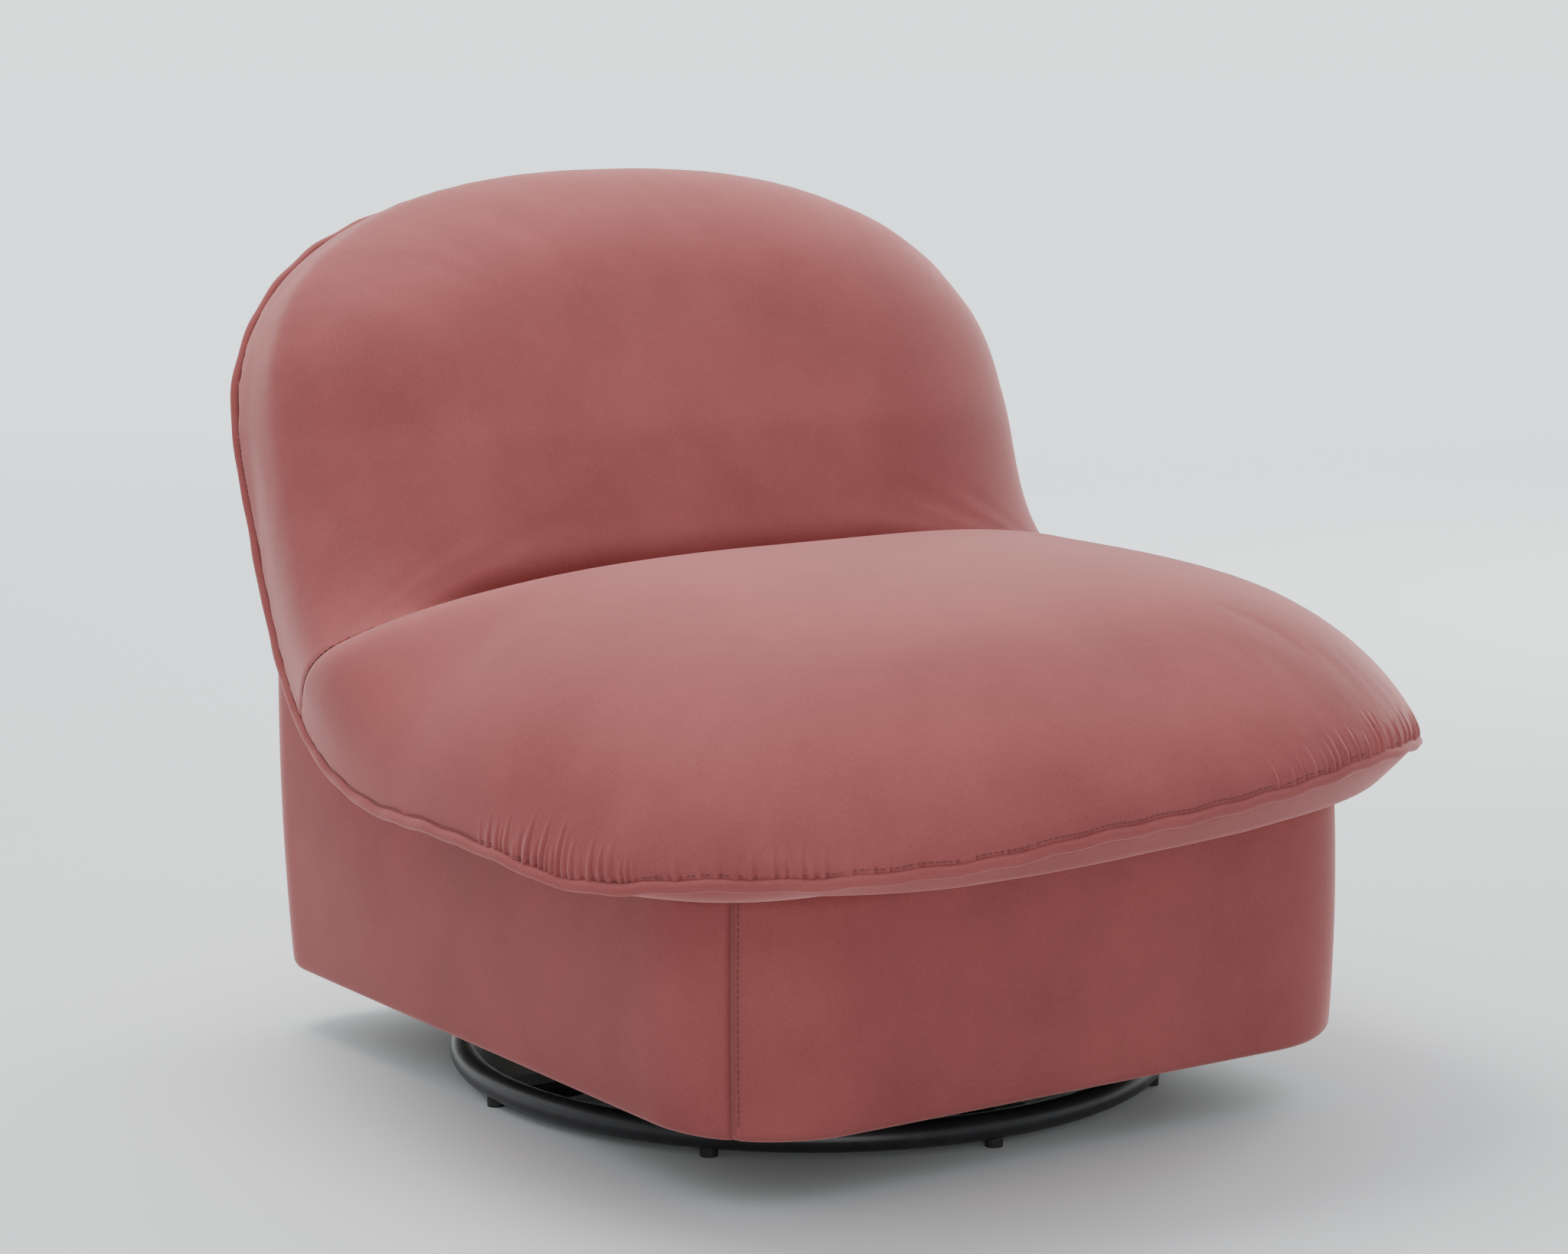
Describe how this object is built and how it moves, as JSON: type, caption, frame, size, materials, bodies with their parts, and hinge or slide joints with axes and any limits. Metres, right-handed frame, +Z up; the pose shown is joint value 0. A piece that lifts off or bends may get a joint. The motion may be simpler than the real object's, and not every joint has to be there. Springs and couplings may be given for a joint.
{
  "type": "glider nursery chair",
  "caption": "Armless upholstered swivel glider with a one-piece padded seat and back on a velvet box, hung on glide links above a round floor ring.",
  "frame": {"origin": "on the floor under the middle of the chair's outline, 30 mm in front of the floor ring's centre", "axes": "+Z up, -Y towards the front of the seat, +X to the sitter's left"},
  "size_m": [0.8292, 0.8991, 0.7408],
  "materials": {
    "velvet": "short-pile dusty-rose velvet",
    "black_steel": "satin black powder coat",
    "foot_rubber": "matt black",
    "zinc_steel": "zinc-plated steel",
    "nylon": "natural nylon",
    "plywood": "raw birch plywood",
    "hardwood": "sawn beech",
    "felt": "pressed felt and woven webbing",
    "black_cloth": "thin black lining cloth"
  },
  "bodies": {
    "base": {"spoke_left": "black_steel", "spoke_right": "black_steel", "spoke_front": "black_steel", "spoke_rear": "black_steel", "floor_ring": "black_steel", "ring_feet": "foot_rubber", "hub_plate": "black_steel", "lower_race": "zinc_steel", "race_bolts": "zinc_steel", "king_pin": "zinc_steel", "king_nut": "zinc_steel"},
    "ball_ring": {"bearing_balls": "zinc_steel", "ball_cage": "nylon"},
    "carriage": {"upper_race": "zinc_steel", "cross_member_front": "black_steel", "cross_member_rear": "black_steel", "carriage_bolts": "zinc_steel", "carriage_rails": "black_steel", "upper_pivot_pins": "zinc_steel", "pivot_post_front_left": "black_steel", "pivot_post_front_right": "black_steel", "pivot_post_rear_left": "black_steel", "pivot_post_rear_right": "black_steel"},
    "link_front_left": {"link_front_left": "black_steel", "bushes_front_left": "nylon"},
    "link_front_right": {"link_front_right": "black_steel", "bushes_front_right": "nylon"},
    "link_rear_left": {"link_rear_left": "black_steel", "bushes_rear_left": "nylon"},
    "link_rear_right": {"link_rear_right": "black_steel", "bushes_rear_right": "nylon"},
    "chair": {"hanger_left": "black_steel", "hanger_right": "black_steel", "lower_pivot_pins": "zinc_steel", "hanger_screws": "zinc_steel", "hanger_cleats": "hardwood", "frame_side_left": "plywood", "frame_side_right": "plywood", "frame_front": "plywood", "frame_rear": "plywood", "corner_formers": "plywood", "seat_rail_front": "hardwood", "seat_rail_rear": "hardwood", "seat_springs": "zinc_steel", "spring_clips": "zinc_steel", "deck_pad": "felt", "dust_cover": "black_cloth", "back_post_left": "plywood", "back_post_right": "plywood", "back_top_rail": "plywood", "back_lower_rail": "plywood", "back_webbing": "felt", "cover_front": "velvet", "cover_left": "velvet", "cover_right": "velvet", "cover_rear": "velvet", "seat_cushion": "velvet", "back_cushion": "velvet", "rear_panel": "velvet", "welt_cord": "velvet"}
  },
  "joints": [
    {"name": "swivel", "type": "hinge", "parent": "base", "child": "carriage", "pos_m": [0, 0.03, 0.04], "axis": [0, 0, 1], "continuous": true},
    {"name": "ball_roll", "type": "hinge", "parent": "base", "child": "ball_ring", "pos_m": [0, 0.03, 0.04], "axis": [0, 0, 1], "continuous": true},
    {"name": "glide", "type": "hinge", "parent": "carriage", "child": "link_front_left", "pos_m": [-0.196, -0.1, 0.184], "axis": [1, 0, 0], "range_deg": [-28, 28]},
    {"name": "chair_level", "type": "hinge", "parent": "link_front_left", "child": "chair", "pos_m": [-0.196, -0.1, 0.084], "axis": [1, 0, 0], "range_deg": [-29, 29]},
    {"name": "swing_front_right", "type": "hinge", "parent": "carriage", "child": "link_front_right", "pos_m": [0.196, -0.1, 0.184], "axis": [1, 0, 0], "range_deg": [-29, 29]},
    {"name": "swing_rear_left", "type": "hinge", "parent": "carriage", "child": "link_rear_left", "pos_m": [-0.196, 0.16, 0.184], "axis": [1, 0, 0], "range_deg": [-29, 29]},
    {"name": "swing_rear_right", "type": "hinge", "parent": "carriage", "child": "link_rear_right", "pos_m": [0.196, 0.16, 0.184], "axis": [1, 0, 0], "range_deg": [-29, 29]}
  ],
  "couplings": [
    {"joint": "ball_roll", "follows": "swivel", "ratio": 0.5},
    {"joint": "chair_level", "follows": "glide", "ratio": -1},
    {"joint": "swing_front_right", "follows": "glide", "ratio": 1},
    {"joint": "swing_rear_left", "follows": "glide", "ratio": 1},
    {"joint": "swing_rear_right", "follows": "glide", "ratio": 1}
  ]
}
